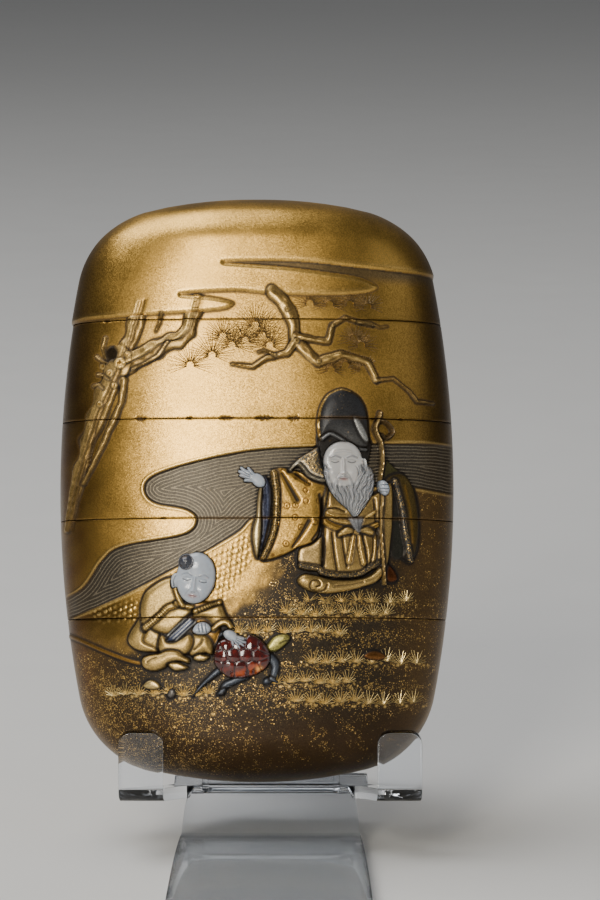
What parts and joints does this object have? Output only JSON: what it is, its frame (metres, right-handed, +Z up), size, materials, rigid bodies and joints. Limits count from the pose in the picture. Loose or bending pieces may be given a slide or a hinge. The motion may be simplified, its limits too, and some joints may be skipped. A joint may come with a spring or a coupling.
{
  "type": "inro case",
  "caption": "Rounded barrel-shaped inro of stacked lacquer cases with a relief scene of a sage, a boy and a tortoise, leaning in a clear bent-sheet cradle.",
  "frame": {"origin": "centre of the overall footprint, on the surface that the cradle stands on", "axes": "+Z up, the decorated front looks along -Y, +X to the right as seen from the front"},
  "size_m": [0.0568, 0.106, 0.0914],
  "materials": {
    "gold_lacquer": "polished sprinkled gold lacquer over a thin core",
    "dark_gold_lacquer": "dark ground lacquer with dense gold flakes",
    "pale_inlay": "smooth carved pale inlay with grey shading",
    "amber_inlay": "glossy dark red and amber shell inlay",
    "clear_acrylic": "clear polished acrylic sheet"
  },
  "bodies": {
    "root": {"lid": "gold_lacquer", "case_1": "gold_lacquer", "case_2": "gold_lacquer", "case_3": "dark_gold_lacquer", "case_4": "dark_gold_lacquer", "sage_head": "pale_inlay", "sage_left_hand": "pale_inlay", "sage_right_hand": "pale_inlay", "boy_head": "pale_inlay", "boy_far_hand": "pale_inlay", "boy_near_hand": "pale_inlay", "tortoise_shell": "amber_inlay", "display_stand": "clear_acrylic"}
  },
  "joints": []
}
